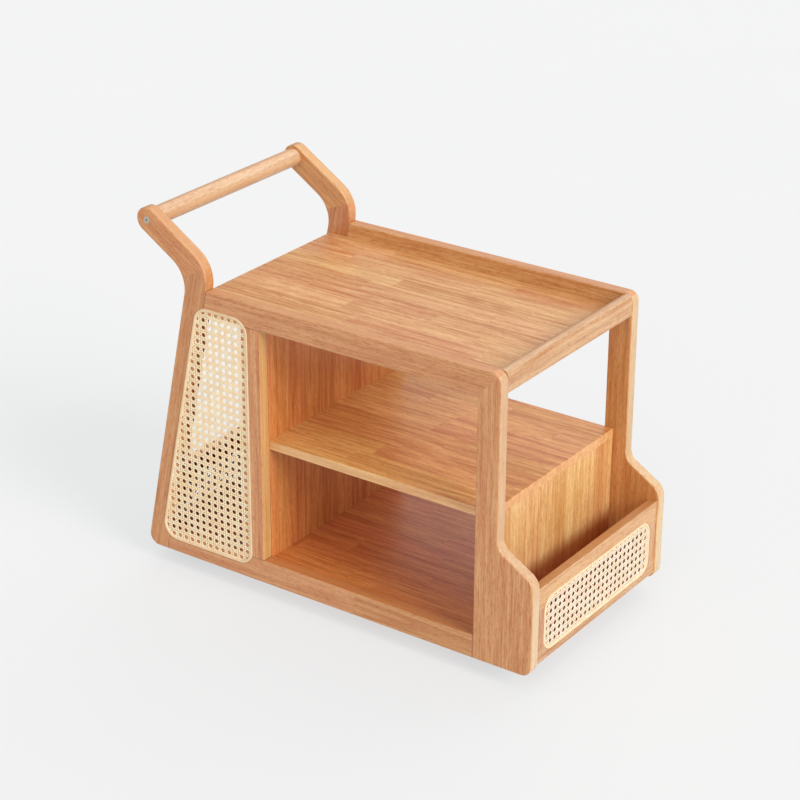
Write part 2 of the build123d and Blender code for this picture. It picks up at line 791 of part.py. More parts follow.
def caster(corner, x, y):
    """The swivelling fork with its axle, and the wheel with its tyre."""
    axle_x = x - caster_trail
    with BuildPart() as fork:
        with BuildSketch(Plane.XY.offset(fork_under_z)):
            with Locations((x, y)):
                Circle(fork_top_radius)
        extrude(amount=fork_thick)
        for cheek_y in (y - cheek_gap - fork_thick, y + cheek_gap):
            with BuildSketch(Plane.XZ.offset(-cheek_y)):
                with Locations((x, fork_under_z + fork_thick / 2)):
                    Rectangle(fork_neck_width, fork_thick)
                with Locations((axle_x, wheel_radius)):
                    Circle(fork_boss_radius)
                make_hull()
            extrude(amount=-fork_thick)
        with Locations(Plane(origin=(axle_x, y, wheel_radius), z_dir=(0, 1, 0))):
            Cylinder(axle_radius, 4 * cheek_gap, mode=Mode.SUBTRACT)
        with Locations((x, y, fork_under_z)):
            Cylinder(rivet_radius + running_gap, 4 * fork_thick, mode=Mode.SUBTRACT)
    keep(fork, "caster_fork_" + corner)
    with BuildPart() as axle:
        with Locations(Plane(origin=(axle_x, y, wheel_radius), z_dir=(0, 1, 0))):
            Cylinder(axle_radius, 2 * (cheek_gap + fork_thick))
        for side in (-1, 1):
            head_y = y + side * (cheek_gap + fork_thick + axle_head_height / 2)
            with Locations(Plane(origin=(axle_x, head_y, wheel_radius), z_dir=(0, 1, 0))):
                Cylinder(axle_head_radius, axle_head_height)
    keep(axle, "caster_axle_" + corner)
    with BuildPart() as wheel:
        with Locations(Plane(origin=(axle_x, y, wheel_radius), z_dir=(0, 1, 0))):
            Cylinder(rim_radius, wheel_width)
        for side in (-1, 1):
            face_y = y + side * wheel_width / 2
            with BuildSketch(Plane(origin=(axle_x, face_y, wheel_radius), z_dir=(0, -side, 0))):
                Circle(rim_radius - rim_wall)
                Circle(hub_radius, mode=Mode.SUBTRACT)
            extrude(amount=(wheel_width - web_thick) / 2, mode=Mode.SUBTRACT)
        web_edges = [
            edge
            for edge in wheel.edges().filter_by(GeomType.CIRCLE)
            if abs(edge.center().Y - y) < web_thick
        ]
        fillet(web_edges, radius=web_round)
        with Locations(Plane(origin=(axle_x, y, wheel_radius), z_dir=(0, 1, 0))):
            Cylinder(axle_radius + running_gap, 2 * wheel_width, mode=Mode.SUBTRACT)
            with PolarLocations((hub_radius + rim_radius - rim_wall) / 2, web_hole_count):
                Cylinder(web_hole_radius, wheel_width, mode=Mode.SUBTRACT)
    keep(wheel, "caster_wheel_" + corner)
    with BuildPart() as tyre:
        with Locations(Plane(origin=(axle_x, y, wheel_radius), z_dir=(0, 1, 0))):
            Cylinder(wheel_radius, wheel_width)
            fillet(tyre.edges(), radius=tyre_round)
            Cylinder(rim_radius, 2 * wheel_width, mode=Mode.SUBTRACT)
    keep(tyre, "caster_tyre_" + corner)


for corner, place in caster_places.items():
    caster(corner, *place)
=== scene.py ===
# %% [markdown]
# # A rolling side table in honey-coloured hardwood and cane
#
# The real table is a tray top, a shelf and a pocket at each end, carried by two side frames
# of solid wood. Openings in the frames and in the pocket panels are filled with woven cane.
# This file dresses the table's measured solids: it gives every solid its finish, weaves the
# cane strand by strand, and sets up a studio like the one in the photograph.
#
# Everything is in metres. X runs along the length towards the front pocket, Y runs across,
# Z is up, and the floor is at zero.

# %% Load the table
import math

import bpy
from mathutils import Matrix, Vector


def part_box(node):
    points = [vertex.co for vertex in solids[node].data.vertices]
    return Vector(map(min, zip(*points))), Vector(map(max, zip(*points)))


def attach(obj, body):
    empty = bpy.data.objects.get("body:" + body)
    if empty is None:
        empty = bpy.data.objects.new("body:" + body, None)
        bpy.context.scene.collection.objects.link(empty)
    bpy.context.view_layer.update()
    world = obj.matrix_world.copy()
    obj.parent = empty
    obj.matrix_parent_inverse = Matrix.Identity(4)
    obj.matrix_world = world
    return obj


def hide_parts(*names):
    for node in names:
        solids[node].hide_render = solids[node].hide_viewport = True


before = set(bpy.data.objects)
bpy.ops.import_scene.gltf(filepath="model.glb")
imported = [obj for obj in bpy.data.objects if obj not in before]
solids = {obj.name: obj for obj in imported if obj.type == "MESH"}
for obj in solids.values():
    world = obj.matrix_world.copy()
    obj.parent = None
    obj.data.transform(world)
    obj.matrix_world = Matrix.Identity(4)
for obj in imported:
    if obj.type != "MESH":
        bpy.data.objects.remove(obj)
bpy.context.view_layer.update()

# %% [markdown]
# ## A small helper for shader nodes
#
# A finish is a tree of nodes. Blender can build one in its editor or from Python. Python is
# used here, because many pieces share the same recipe with other grain directions. One helper
# makes a node, sets its options, and either fills or links its sockets. A second one does
# arithmetic, which comes up in nearly every step of a wood finish. The others stretch a range
# of values, blend two colours, and turn a colour as seen on screen into light values.

# %% Helpers for nodes
def put(tree, kind, sockets=None, **options):
    made = tree.nodes.new(kind)
    for option, value in options.items():
        setattr(made, option, value)
    for socket, value in (sockets or {}).items():
        if isinstance(value, bpy.types.NodeSocket):
            tree.links.new(value, made.inputs[socket])
        else:
            made.inputs[socket].default_value = value
    return made


def calc(tree, operation, first, second=0.0, third=0.0):
    return put(tree, "ShaderNodeMath", {0: first, 1: second, 2: third}, operation=operation).outputs[0]


def spread(tree, value, low, high, new_low=0.0, new_high=1.0):
    names = ("Value", "From Min", "From Max", "To Min", "To Max")
    levels = dict(zip(names, (value, low, high, new_low, new_high)))
    return put(tree, "ShaderNodeMapRange", levels).outputs[0]


def blend_colour(tree, amount, first, second, how="MIX"):
    mix = put(tree, "ShaderNodeMix", {0: amount, 6: first, 7: second}, data_type="RGBA", blend_type=how)
    return mix.outputs[2]


def linear(red, green, blue):
    """A colour as seen on screen, 0 to 255, as the light values that shaders use."""
    steps = [c / 255 for c in (red, green, blue)]
    return tuple(c / 12.92 if c <= 0.04045 else ((c + 0.055) / 1.055) ** 2.4 for c in steps) + (1.0,)


print("a mid honey in light values:", [round(c, 3) for c in linear(206, 148, 98)])

# %% [markdown]
# ## What makes wood look like wood
#
# The table's wood is pale, straight-grained and open-pored. Four things show at reading
# distance: staves of slightly different tone glued edge to edge, streaks along the grain, an
# arched figure where a stave was sawn near the heart, and fine dark pores. Photographs of wood
# could be wrapped on, but a grain that is worked out from the piece's own position has no
# seams, runs through the ends and never repeats. So the recipe below is one node group that
# takes a position already turned so that its X runs along the grain and its Y across the staves.
#
# The streaks come in three sizes, from broad ones to ribbons and short flecks. Each is a noise
# stretched along the grain, and only the part of it above a threshold counts. The rarest one,
# here called heart, is a dark band now and then.

# %% The grain recipe
# Each layer: waves per metre along and across the grain, detail, then the noise levels
# where it begins and where it is full.
GRAIN_LAYERS = {
    "streaks": (4.5, 130.0, 3.0, 0.36, 0.64),
    "ribbons": (16.0, 380.0, 2.0, 0.34, 0.66),
    "flecks": (90.0, 760.0, 1.0, 0.54, 0.62),
    "heart": (3.0, 95.0, 2.0, 0.62, 0.70),
    "pores": (75.0, 1500.0, 1.0, 0.60, 0.70),
}
SWELL = (2.6, 17.0, 1.0)
RINGS_PER_SWELL = 11.0
NOISE_ROUGHNESS = 0.55
FIGURE_SHARE, STREAK_SHARE, RIBBON_SHARE, BASE_TONE = 0.5, 0.56, 0.38, -0.14
DEEP_TONE, PORE_TONE = (0.82, 0.59, 0.43, 1.0), (0.57, 0.42, 0.35, 1.0)
HEART_DEPTH, FLECK_DEPTH, PORE_DEPTH = 0.6, 0.72, 0.42
HUE_DRIFT = 0.005
PORE_PIT, RIBBON_RIDGE = -0.6, 0.35
WOOD_ROUGHNESS, RIBBON_ROUGHNESS = 0.36, 0.08


def make_grain_group():
    tree = bpy.data.node_groups.new("wood_grain", "ShaderNodeTree")
    plan = (
        ("Position", "NodeSocketVector", None),
        ("Seed", "NodeSocketFloat", 0.0),
        ("Stave width", "NodeSocketFloat", 1.0),
        ("Stave length", "NodeSocketFloat", 5.0),
        ("Stave contrast", "NodeSocketFloat", 0.3),
        ("Figure", "NodeSocketFloat", 0.4),
        ("Light", "NodeSocketColor", (1, 1, 1, 1)),
        ("Dark", "NodeSocketColor", (0, 0, 0, 1)),
    )
    for name, kind, value in plan:
        made = tree.interface.new_socket(name, in_out="INPUT", socket_type=kind)
        if value is not None:
            made.default_value = value
    for name, kind in (("Color", "Color"), ("Height", "Float"), ("Roughness", "Float")):
        tree.interface.new_socket(name, in_out="OUTPUT", socket_type="NodeSocket" + kind)
    given = put(tree, "NodeGroupInput").outputs
    along, across = put(tree, "ShaderNodeSeparateXYZ", {0: given["Position"]}).outputs[:2]

    # Which stave, and which length of it. The numbers only scatter the choices.
    stave = calc(tree, "FLOOR", calc(tree, "DIVIDE", across, given["Stave width"]))
    seeded = calc(tree, "MULTIPLY_ADD", given["Seed"], 13.7, stave)
    slide = put(tree, "ShaderNodeTexWhiteNoise", {"W": seeded}, noise_dimensions="1D").outputs["Value"]
    start = calc(tree, "MULTIPLY_ADD", slide, 3.1, calc(tree, "DIVIDE", along, given["Stave length"]))
    block = calc(tree, "FLOOR", start)
    name_of_block = put(tree, "ShaderNodeCombineXYZ", {0: seeded, 1: block, 2: given["Seed"]}).outputs[0]
    dice = put(tree, "ShaderNodeTexWhiteNoise", {"Vector": name_of_block}, noise_dimensions="3D").outputs
    shift = put(tree, "ShaderNodeVectorMath", {0: dice["Color"], "Scale": 4.0}, operation="SCALE").outputs[0]
    place = put(tree, "ShaderNodeVectorMath", {0: given["Position"], 1: shift}).outputs[0]

    def noise(lengthwise, crosswise, detail):
        scale = (lengthwise, crosswise, crosswise)
        stretched = put(tree, "ShaderNodeVectorMath", {0: place, 1: scale}, operation="MULTIPLY").outputs[0]
        settings = {"Vector": stretched, "Scale": 1.0, "Detail": detail, "Roughness": NOISE_ROUGHNESS}
        return put(tree, "ShaderNodeTexNoise", settings).outputs[0]

    # Growth rings: contour lines of a slow swell, which arch where the swell turns
    rings = calc(tree, "PINGPONG", calc(tree, "MULTIPLY", noise(*SWELL), RINGS_PER_SWELL), 0.5)
    rings = spread(tree, rings, 0.0, 0.5)
    layers = {}
    for name, (lengthwise, crosswise, detail, begins, full) in GRAIN_LAYERS.items():
        layers[name] = spread(tree, noise(lengthwise, crosswise, detail), begins, full)

    tone = calc(tree, "MULTIPLY", calc(tree, "SUBTRACT", dice["Value"], 0.5), given["Stave contrast"])
    mix = calc(tree, "MULTIPLY_ADD", rings, calc(tree, "MULTIPLY", given["Figure"], FIGURE_SHARE), BASE_TONE)
    mix = calc(tree, "MULTIPLY_ADD", layers["streaks"], STREAK_SHARE, mix)
    mix = calc(tree, "MULTIPLY_ADD", layers["ribbons"], RIBBON_SHARE, mix)
    mix = calc(tree, "ADD", mix, tone)
    colour = blend_colour(tree, mix, given["Light"], given["Dark"])
    deep = blend_colour(tree, 1.0, colour, DEEP_TONE, "MULTIPLY")
    colour = blend_colour(tree, calc(tree, "MULTIPLY", layers["heart"], HEART_DEPTH), colour, deep)
    colour = blend_colour(tree, calc(tree, "MULTIPLY", layers["flecks"], FLECK_DEPTH), colour, deep)
    pored = blend_colour(tree, 1.0, colour, PORE_TONE, "MULTIPLY")
    colour = blend_colour(tree, calc(tree, "MULTIPLY", layers["pores"], PORE_DEPTH), colour, pored)
    draw = put(tree, "ShaderNodeSeparateColor", {0: dice["Color"]}).outputs[1]
    hue = spread(tree, draw, 0, 1, 0.5 - HUE_DRIFT, 0.5 + HUE_DRIFT)
    colour = put(tree, "ShaderNodeHueSaturation", {"Hue": hue, "Color": colour}).outputs[0]

    # Pores are pits and ribbons are low ridges, which also shine a little less
    ridges = calc(tree, "MULTIPLY", layers["ribbons"], RIBBON_RIDGE)
    height = calc(tree, "MULTIPLY_ADD", layers["pores"], PORE_PIT, ridges)
    rough = calc(tree, "MULTIPLY_ADD", layers["ribbons"], RIBBON_ROUGHNESS, WOOD_ROUGHNESS)
    put(tree, "NodeGroupOutput", {"Color": colour, "Height": height, "Roughness": rough})
    return tree


grain_group = make_grain_group()
print("grain recipe:", len(grain_group.nodes), "nodes")

# %% [markdown]
# ## Turning the recipe into a finish for one piece
#
# On the real table each rail, post and board was sawn with its grain along its length, and
# each came from another plank. So every piece gets its own material: the position is turned to
# the piece's grain, a seed picks its figure, and a tint makes its plank a little yellower,
# redder or paler than the next. The tints also carry some painted light and shade: pieces that
# face the main light are tinted paler and pieces deep inside the table darker. Where an upright
# meets a rail, the joint shows as a hairline of shade. It is drawn as a very narrow dark band
# at the joint's plane, which keeps the solids whole.
#
# A sawn stick also shows another tone on its narrow sides than on its broad ones, because the
# saw meets the growth rings at another angle there. So the recipe looks at which way the
# surface faces: away from the broad faces, the colour moves to an edge tint and grows calmer.
# The edge tints also carry painted light and shade: narrow sides that face the main light are
# painted paler, and the tops of the bottom rails and of the front pocket's top rail darker.
# The eased edges in between get a painted highlight: their colour is lifted a shade lighter.
#
# Last, one side of a board can differ from the other: low down inside the pocket a divider gets
# painted shade, darker than its outside. So a finish may carry a tone for one side only.
# The tone belongs to the piece, wherever it is seen from. It is given as the way that side
# looks, the way along which the tone sets in, where it begins and is full, and the tone itself.

# %% One wood finish
PLAIN = (1, 1, 1)
HONEY_LIGHT = linear(226, 170, 117)
HONEY_DARK = linear(184, 106, 50)
JOINT_SHADE = linear(92, 46, 24)
JOINT_WIDTH, JOINT_DEPTH = 0.0006, 0.85
# How squarely a surface looks the broad way, from 0 to 1: ranges for narrow sides and eased edges
NARROW_RANGE = (0.1, 0.6)
EASED_BEGINS, EASED_ENDS = (0.15, 0.45), (0.75, 0.95)
# Painted highlight along the eased edges: its tint, and how much of it shows
EASED_HIGHLIGHT, EASED_SHARE = (0.98, 1.14, 1.34), 0.8
EDGE_CALM = 0.5
ONE_SIDE_RANGE = (0.2, 0.8)
BUMP_STRENGTH, BUMP_HEIGHT = 0.25, 0.0004
COAT, COAT_ROUGHNESS = 0.22, 0.3


def turned(along, across):
    """The rotation that lays a piece's grain along X and its width along Y."""
    along = Vector(along).normalized()
    across = Vector(across).normalized()
    return Matrix((along, across, along.cross(across))).to_euler("XYZ")


def tinted(colour, tint):
    return tuple(min(c * t, 1.0) for c, t in zip(colour[:3], tint)) + (1.0,)


def between(first, second, share):
    return tuple(a + (b - a) * share for a, b in zip(first, second))


def reach_along(tree, vector, way):
    """How far a position or a surface direction reaches along a way."""
    dot = put(tree, "ShaderNodeVectorMath", {0: vector, 1: tuple(way)}, operation="DOT_PRODUCT")
    return dot.outputs["Value"]


def multiplied(tree, amount, colour, factor):
    product = blend_colour(tree, 1.0, colour, tuple(factor) + (1.0,), "MULTIPLY")
    return blend_colour(tree, amount, colour, product)


def one_sided(tree, place, colour, side):
    """Multiply the face that looks one way by a tone, from none at start to all at end."""
    look, way, start, end, tone = side
    turned_to_it = spread(tree, reach_along(tree, place["Normal"], look), *ONE_SIDE_RANGE)
    set_in = spread(tree, reach_along(tree, place["Object"], way), start, end)
    return multiplied(tree, calc(tree, "MULTIPLY", turned_to_it, set_in), colour, tone)


def wood(name, along, across, seed, tint=PLAIN, joints=(), edge=PLAIN, calm=0.0, sides=(), **grain):
    """A plank's finish; calm evens out its streaks, from 0 for lively to 1 for plain."""
    material = bpy.data.materials.new(name)
    material.use_nodes = True
    tree = material.node_tree
    shader = tree.nodes["Principled BSDF"]
    place = put(tree, "ShaderNodeTexCoord").outputs
    position = place["Object"]
    lay = put(tree, "ShaderNodeMapping", {"Vector": position, "Rotation": turned(along, across)}).outputs[0]
    group = put(tree, "ShaderNodeGroup", node_tree=grain_group)
    tree.links.new(lay, group.inputs["Position"])
    light, dark = tinted(HONEY_LIGHT, tint), tinted(HONEY_DARK, tint)
    middle = between(light, dark, 0.5)
    tones = {"Light": between(light, middle, calm), "Dark": between(dark, middle, calm)}
    for socket, value in {"Seed": seed, **tones, **grain}.items():
        group.inputs[socket].default_value = value
    colour = group.outputs["Color"]
    broad_way = Vector(along).cross(Vector(across)).normalized()
    broad = calc(tree, "ABSOLUTE", reach_along(tree, place["Normal"], broad_way))
    narrow = spread(tree, broad, *NARROW_RANGE, 1.0, 0.0)
    colour = multiplied(tree, narrow, colour, edge)
    colour = blend_colour(tree, calc(tree, "MULTIPLY", narrow, EDGE_CALM), colour, tinted(middle, edge))
    # Painted highlight: the colour is lifted along the eased edges
    rising, falling = spread(tree, broad, *EASED_BEGINS), spread(tree, broad, *EASED_ENDS, 1.0, 0.0)
    eased = calc(tree, "MULTIPLY", rising, falling)
    colour = multiplied(tree, calc(tree, "MULTIPLY", eased, EASED_SHARE), colour, EASED_HIGHLIGHT)
    for side in sides:
        colour = one_sided(tree, place, colour, side)
    for point, normal in joints:
        offset = Vector(point).dot(Vector(normal))
        gap = calc(tree, "ABSOLUTE", calc(tree, "SUBTRACT", reach_along(tree, position, normal), offset))
        line = spread(tree, gap, JOINT_WIDTH, JOINT_WIDTH * 2, JOINT_DEPTH, 0.0)
        colour = blend_colour(tree, line, colour, JOINT_SHADE)
    tree.links.new(colour, shader.inputs["Base Color"])
    tree.links.new(group.outputs["Roughness"], shader.inputs["Roughness"])
    relief = {"Height": group.outputs["Height"], "Strength": BUMP_STRENGTH, "Distance": BUMP_HEIGHT}
    tree.links.new(put(tree, "ShaderNodeBump", relief).outputs[0], shader.inputs["Normal"])
    shader.inputs["Coat Weight"].default_value = COAT
    shader.inputs["Coat Roughness"].default_value = COAT_ROUGHNESS
    return material


def finish(node, material):
    """Put one material on a solid, whose shape stays as it was measured."""
    mesh = solids[node].data
    mesh.materials.clear()
    mesh.materials.append(material)


for label, tone in (("light", HONEY_LIGHT), ("dark", HONEY_DARK)):
    print("honey,", label, "tone in light values:", [round(c, 3) for c in tone[:3]])

# %% [markdown]
# ## The side frames
#
# Each frame is two rails, three uprights and a handle arm, all 20 mm thick. The rear post
# leans back 11.7 degrees going down, and the arm rises from it at 33 degrees. Their grain has
# to follow them: the mitre where they meet shows only because the grain turns there.
#
# The other joints show as hairlines. Their places are read from the boxes round the solids.

# %% Grain of the frames
LEAN = math.radians(11.72)
ARM = math.radians(33)
RAIL_HEIGHT = 0.04
X_AXIS, Y_AXIS, Z_AXIS = (1, 0, 0), (0, 1, 0), (0, 0, 1)
BACKWARD, RIGHTWARD, DOWN = (-1, 0, 0), (0, -1, 0), (0, 0, -1)
lean_along = (math.sin(LEAN), 0, math.cos(LEAN))
lean_across = (math.cos(LEAN), 0, -math.sin(LEAN))
arm_along = (-math.cos(ARM), 0, math.sin(ARM))
arm_across = (math.sin(ARM), 0, math.cos(ARM))

stile_low, stile_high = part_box("right_stile")
rail_low, rail_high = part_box("right_top_rail")
post_back_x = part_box("right_bottom_rail")[1].x
seam_rear = ((rail_low.x + RAIL_HEIGHT * math.tan(LEAN), 0, rail_high.z), lean_across)
seam_post = ((post_back_x, 0, 0), X_AXIS)
stile_ends = [((0, 0, stile_low.z), Z_AXIS), ((0, 0, stile_high.z), Z_AXIS)]

# Plank tints: partly each plank's own tone, partly painted light and shade
RAIL_TINT, POST_TINT, ARM_TINT = (0.94, 0.88, 0.85), (1.03, 1.08, 1.06), (0.98, 0.95, 0.82)
# Edge tints: partly the narrow sides' own tone, partly painted light where a narrow side faces the main light
# and painted shade on the bottom rail's top
SOFT_EDGE = (1.0, 1.06, 1.12)
FRAME_EDGE_LIGHT_AND_SHADE = {
    "front_post": (0.93, 1.27, 1.80),
    "bottom_rail": (0.94, 0.84, 0.68),
    "stile": (1.05, 1.31, 1.22),
    "handle_arm": (0.92, 1.09, 1.30),
}
SINGLE = {"Figure": 0.25}
FRAME_CALM = 0.2
# The bulged feet get painted light on their front, which faces the main light, and two pieces
# of the left frame differ on the inner side.
# A tone that sets in below the floor is full all over its side.
FOOT_FRONT_PAINTED_LIGHT = (X_AXIS, DOWN, -0.20, -0.14, (1.06, 1.20, 1.30))
ALL_OVER = (-1.0, 0.0)
LEFT_INSIDE = {"left_top_rail": (1.16, 1.44, 1.44), "left_front_post": (0.97, 0.88, 0.79)}
frame_plan = {
    "top_rail": (X_AXIS, Z_AXIS, RAIL_TINT, [seam_rear]),
    "bottom_rail": (X_AXIS, Z_AXIS, RAIL_TINT, [seam_rear, seam_post]),
    "front_post": (Z_AXIS, X_AXIS, POST_TINT, []),
    "stile": (Z_AXIS, X_AXIS, POST_TINT, stile_ends),
    "rear_post": (lean_along, lean_across, RAIL_TINT, []),
    "handle_arm": (arm_along, arm_across, ARM_TINT, []),
}
seed = 0
for hand in ("right", "left"):
    for piece, (along, across, tint, joints) in frame_plan.items():
        seed += 1
        node = f"{hand}_{piece}"
        edge = FRAME_EDGE_LIGHT_AND_SHADE.get(piece, SOFT_EDGE)
        sides = [FOOT_FRONT_PAINTED_LIGHT] if piece == "front_post" else []
        if node in LEFT_INSIDE:
            sides.append((RIGHTWARD, Z_AXIS, *ALL_OVER, LEFT_INSIDE[node]))
        plank = (along, across, seed, tint, joints, edge, FRAME_CALM, sides)
        finish(node, wood(node + "_wood", *plank, **SINGLE))
print("frame pieces finished:", seed)

# %% [markdown]
# ## The boards
#
# The tabletop, shelf and bottom board are glued up from staves about 40 mm wide, laid along
# the table, and each stave is itself made of shorter lengths. The two dividers stand with
# their staves upright. The crossbar and the pocket rails are single sticks across the table.
#
# The handle bar and the dowels are turned from a paler wood with hardly any figure. Inside the
# pockets the boards get painted shade: the front divider low down, the bottom board at both
# ends, and the rear panel on the side that looks into its pocket.

# %% Finishes of the boards
STAVES = {"Stave width": 0.041, "Stave length": 0.24, "Stave contrast": 0.34, "Figure": 0.5}
UPRIGHT_STAVES = {**STAVES, "Stave length": 5.0, "Stave contrast": 0.46}
PALE_TINT = (0.80, 0.93, 1.08)
# Edge tints with painted light and shade: the shelf's edges, which face the main light, paler, and the pocket
# rail's top darker
BOARD_EDGE_LIGHT_AND_SHADE = {"shelf": (1.06, 1.18, 1.58), "front_panel_top_rail": (0.80, 0.64, 0.48)}
BOARD_CALM = {"front_divider": 0.25, "rear_divider": 0.15, "crossbar": 0.2, "front_panel_top_rail": 0.3}
# Painted shade: the boards inside the pockets are darkened in their colour, deeper low down
POCKET_SHADE, DEEP_SHADE = (0.76, 0.42, 0.27), (0.50, 0.17, 0.08)
REAR_INSIDE_SHADE = (lean_across, DOWN, -0.20, -0.18, DEEP_SHADE)
POCKET_SHADE_SIDES = {
    "front_divider": [
        (X_AXIS, DOWN, -0.134, -0.112, POCKET_SHADE),
        (X_AXIS, DOWN, -0.104, -0.085, POCKET_SHADE),
    ],
    "bottom_board": [
        (Z_AXIS, X_AXIS, 0.279, 0.281, DEEP_SHADE),
        (Z_AXIS, BACKWARD, 0.145, 0.147, DEEP_SHADE),
    ],
    "rear_panel_top_rail": [REAR_INSIDE_SHADE],
    "rear_panel_bottom_rail": [REAR_INSIDE_SHADE],
    "rear_panel_stiles": [REAR_INSIDE_SHADE],
}
# The tints are partly each plank's own tone, partly painted light and shade
board_plan = {
    "tabletop": (X_AXIS, Y_AXIS, (1.0, 1.10, 1.09), STAVES),
    "shelf": (X_AXIS, Y_AXIS, (1.12, 1.21, 0.96), STAVES),
    "bottom_board": (X_AXIS, Y_AXIS, (0.92, 0.67, 0.42), STAVES),
    "rear_divider": (Z_AXIS, Y_AXIS, (1.05, 0.86, 0.61), UPRIGHT_STAVES),
    "front_divider": (Z_AXIS, Y_AXIS, (1.13, 1.42, 1.40), UPRIGHT_STAVES),
    "shelf_cleat": (Y_AXIS, Z_AXIS, PLAIN, SINGLE),
    "crossbar": (Y_AXIS, Z_AXIS, (0.87, 1.02, 1.27), SINGLE),
    "front_panel_top_rail": (Y_AXIS, Z_AXIS, (0.90, 1.05, 1.12), SINGLE),
    "front_panel_bottom_rail": (Y_AXIS, Z_AXIS, PALE_TINT, SINGLE),
    "front_panel_stiles": (Z_AXIS, Y_AXIS, PALE_TINT, SINGLE),
    "rear_panel_top_rail": (Y_AXIS, lean_along, PLAIN, SINGLE),
    "rear_panel_bottom_rail": (Y_AXIS, lean_along, PLAIN, SINGLE),
    "rear_panel_stiles": (lean_along, Y_AXIS, PLAIN, SINGLE),
}
for node, (along, across, tint, grain) in board_plan.items():
    seed += 1
    edge = BOARD_EDGE_LIGHT_AND_SHADE.get(node, PLAIN)
    calm = BOARD_CALM.get(node, 0.0)
    sides = POCKET_SHADE_SIDES.get(node, ())
    finish(node, wood(node + "_wood", along, across, seed, tint, (), edge, calm, sides, **grain))

STRAW = {"tint": (1.02, 1.42, 1.90), "calm": 0.6, "Figure": 0.12}
for node in ("handle_bar", "right_frame_dowels", "left_frame_dowels", "board_dowels"):
    seed += 1
    finish(node, wood(node + "_wood", Y_AXIS, X_AXIS, seed, **STRAW))
print("boards finished:", len(board_plan), "and wooden pieces in all:", seed)

# %% [markdown]
# ## Rattan
#
# Cane is the shiny bark of rattan, peeled into strips, and the spline round each panel is a
# reed hammered into a groove over the cane's ends. Both are pale cream with a faint fibre
# along their length and a soft sheen. The strands run every way, so the noise in their colour
# isn't stretched along any of them, and at this scale that is enough: broad clouds and fine
# specks. The cane of the side frames is made a warmer, brighter cream than that of the pocket
# panels: painted light on the sides, which face away from the main light. So there are two
# colours of one cane.

# %% The rattan finish
CLOUD_SCALE, SPECK_SCALE = 60.0, 700.0
CLOUD_SHARE, SPECK_SHARE = 0.5, 0.45
SPECK_LEVELS = (0.3, 0.7)
CANE_ROUGHNESS, REED_ROUGHNESS = 0.38, 0.42


def rattan(name, light, dark, rough, sides=()):
    material = bpy.data.materials.new(name)
    material.use_nodes = True
    tree = material.node_tree
    shader = tree.nodes["Principled BSDF"]
    place = put(tree, "ShaderNodeTexCoord").outputs
    position = place["Object"]
    broad, fine = (
        put(tree, "ShaderNodeTexNoise", {"Vector": position, "Scale": scale, "Detail": detail}).outputs[0]
        for scale, detail in ((CLOUD_SCALE, 2.0), (SPECK_SCALE, 3.0))
    )
    clouds = spread(tree, broad, 0.35, 0.65, 0.0, CLOUD_SHARE)
    amount = calc(tree, "MULTIPLY_ADD", spread(tree, fine, *SPECK_LEVELS), SPECK_SHARE, clouds)
    colour = blend_colour(tree, amount, light, dark)
    for side in sides:
        colour = one_sided(tree, place, colour, side)
    tree.links.new(colour, shader.inputs["Base Color"])
    tree.links.new(spread(tree, fine, *SPECK_LEVELS, rough, rough + 0.15), shader.inputs["Roughness"])
    bump = put(tree, "ShaderNodeBump", {"Height": fine, "Strength": 0.2, "Distance": 0.0003})
    tree.links.new(bump.outputs[0], shader.inputs["Normal"])
    shader.inputs["Subsurface Weight"].default_value = 0.1
    shader.inputs["Subsurface Radius"].default_value = (0.004, 0.002, 0.001)
    return material


# Painted light: the side frames' cane is brighter and warmer than the panels' cane
PANEL_CANE = linear(236, 224, 204), linear(223, 198, 164)
SIDE_CANE_PAINTED_LIGHT = linear(254, 237, 202), linear(250, 214, 165)
REED = linear(239, 211, 174), linear(227, 191, 146)
side_cane = rattan("side_cane_strands", *SIDE_CANE_PAINTED_LIGHT, CANE_ROUGHNESS)
front_cane = rattan("front_cane_strands", *PANEL_CANE, CANE_ROUGHNESS)
# The rear panel's cane gets painted shade on the side that looks into its pocket
rear_cane = rattan("rear_cane_strands", *PANEL_CANE, CANE_ROUGHNESS, [REAR_INSIDE_SHADE])
reed_finish = rattan("rattan_reed", *REED, REED_ROUGHNESS)
splines = ("right_cane_spline", "left_cane_spline", "front_panel_spline", "rear_panel_spline")
for node in splines:
    finish(node, reed_finish)
print("reed splines finished:", len(splines))

# %% [markdown]
# ## Weaving the cane
#
# The webbing is the common half-inch kind. Pairs of upright and level strands lace over and
# under each other, and single strands cross them both ways on the slant. Each slanting strand
# passes halfway between two diagonal rows of holes, and that is what makes the holes octagons.
# A picture of cane on a flat sheet would look right from one side only, so the strands are
# made as real strips, each with its own rise and fall. They are cut off where they reach the
# middle of the reed, as the real ones are.
#
# First the outline: the solid cane sheet's own corner points, seen in the sheet's plane, give
# the straight edges that every strand is cut against.

# %% The outline of a cane panel
PITCH = 0.0127  # from hole to hole
PAIR_HALF = 0.0019  # from the middle of a pair to the middle of either strand
STRAND_WIDTH, SLANT_WIDTH = 0.0026, 0.0024
STRAND_THICK = 0.00036
RISE, SLANT_RISE = 0.00028, 0.00046
TUCK = 0.003  # from the sheet's edge to the middle of the reed


def convex_outline(points):
    """The hull of flat points, anticlockwise."""
    points = sorted(set(points))

    def half(source):
        kept = []
        for p in source:
            while len(kept) > 1 and (kept[-1] - kept[-2]).cross(p - kept[-1]) <= 0:
                kept.pop()
            kept.append(p)
        return kept[:-1]

    points = [Vector(p) for p in points]
    return half(points) + half(points[::-1])


